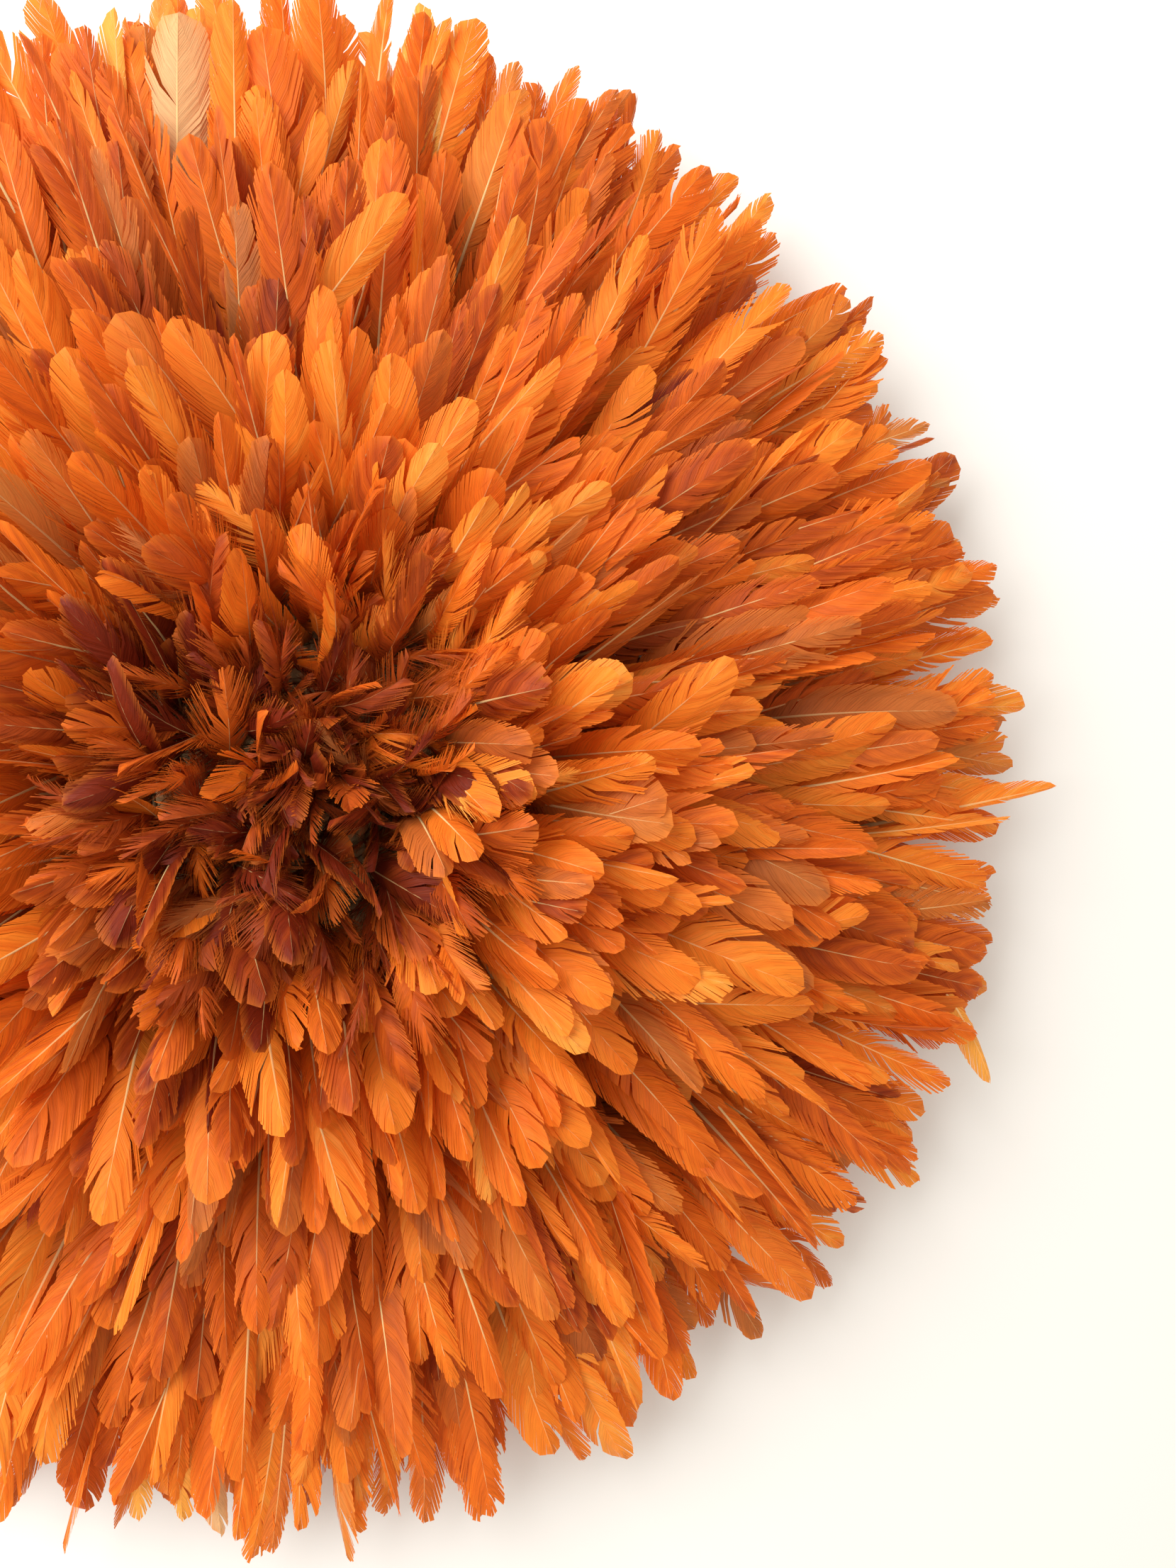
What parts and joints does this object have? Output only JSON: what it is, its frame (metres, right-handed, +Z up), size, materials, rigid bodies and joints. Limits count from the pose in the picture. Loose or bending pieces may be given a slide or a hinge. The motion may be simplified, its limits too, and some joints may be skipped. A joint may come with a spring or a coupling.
{
  "type": "feathered headdress",
  "caption": "Round feathered headdress: a coiled raffia cap with cane ribs that carries rings of orange-dyed feathers, dark in the middle, with a loop to hang it by.",
  "frame": {"origin": "middle of the underside of the rim that the headdress rests on, which is the middle of the mouth that the head goes in", "axes": "+Z up out of the feathered face, along the cap's axis; +Y towards the hanging loop, which is up when the headdress hangs on a wall; +X to the right as the feathers are seen then"},
  "size_m": [0.7858, 0.7832, 0.1727],
  "materials": {
    "raffia": "coiled plant fibre, matt",
    "raffia_wrap": "wound plant fibre, matt",
    "cane": "split cane, satin",
    "twine": "twisted plant fibre, matt",
    "feather_dark": "dyed feathers, dark red-brown",
    "feather_rust": "dyed feathers, rust",
    "feather_orange": "dyed feathers, orange, slightly see-through at the tips"
  },
  "bodies": {
    "root": {"cap_rim": "raffia_wrap", "raffia_cap": "raffia", "rib_01": "cane", "rib_02": "cane", "rib_03": "cane", "rib_04": "cane", "rib_05": "cane", "rib_06": "cane", "rib_07": "cane", "rib_08": "cane", "rib_09": "cane", "rib_10": "cane", "rib_11": "cane", "rib_12": "cane", "rib_13": "cane", "rib_14": "cane", "rib_15": "cane", "rib_16": "cane", "rib_17": "cane", "rib_18": "cane", "rib_19": "cane", "rib_20": "cane", "rib_21": "cane", "rib_22": "cane", "rib_23": "cane", "rib_24": "cane", "rib_cord_1": "twine", "rib_cord_2": "twine", "feather_tuft": "feather_dark", "feather_row_1": "feather_dark", "feather_row_2": "feather_dark", "feather_row_3": "feather_rust", "feather_row_4": "feather_orange", "feather_row_5": "feather_orange", "feather_row_6": "feather_orange", "feather_row_7": "feather_orange", "feather_row_8": "feather_orange", "hanging_loop": "twine"}
  },
  "joints": []
}
